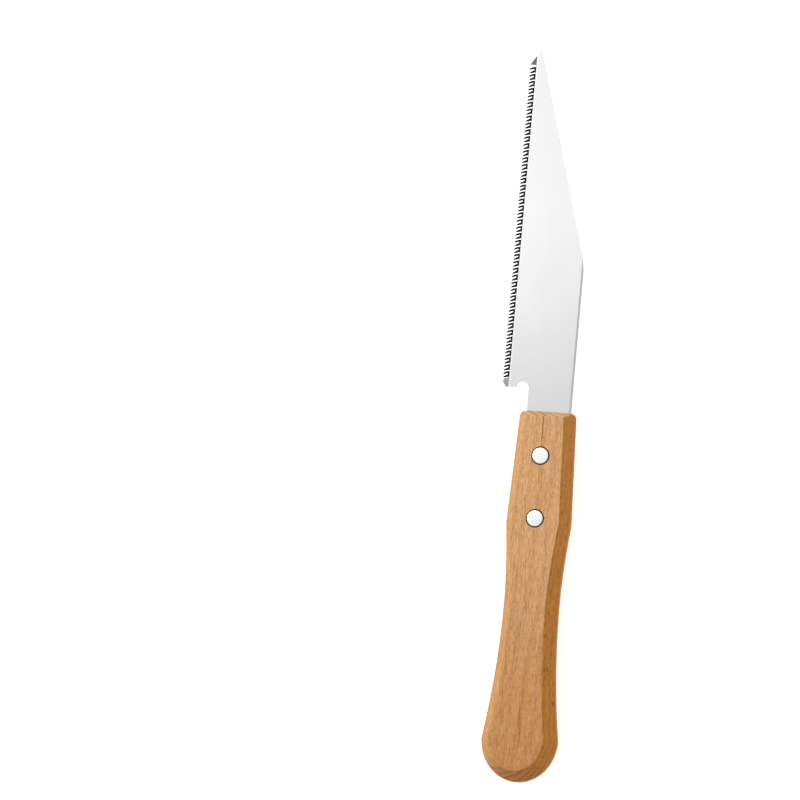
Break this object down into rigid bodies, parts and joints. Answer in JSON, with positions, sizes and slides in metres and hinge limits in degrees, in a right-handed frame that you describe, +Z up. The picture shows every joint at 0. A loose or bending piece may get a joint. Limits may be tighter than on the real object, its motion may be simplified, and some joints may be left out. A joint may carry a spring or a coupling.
{
  "type": "pull saw",
  "caption": "Pointed pull saw for plasterboard: straight toothed steel blade with a slanted back, riveted into a waisted hexagonal wooden handle.",
  "frame": {"origin": "middle of the saw's footprint, on the surface that the back of the handle rests on", "axes": "+X along the saw from the butt of the handle to the tip of the blade, +Y across it towards the teeth, +Z up through its thickness, out of the handle's front face"},
  "size_m": [0.328, 0.0396, 0.0173],
  "materials": {
    "beech": "beech, sanded smooth, thin clear oil or varnish, satin",
    "blade_steel": "polished spring steel, teeth darkened by hardening",
    "rivet_steel": "bright polished nickel-plated steel"
  },
  "bodies": {
    "root": {"handle": "beech", "blade": "blade_steel", "upper_rivet_sleeve": "rivet_steel", "upper_rivet_pin": "rivet_steel", "lower_rivet_sleeve": "rivet_steel", "lower_rivet_pin": "rivet_steel"}
  },
  "joints": []
}
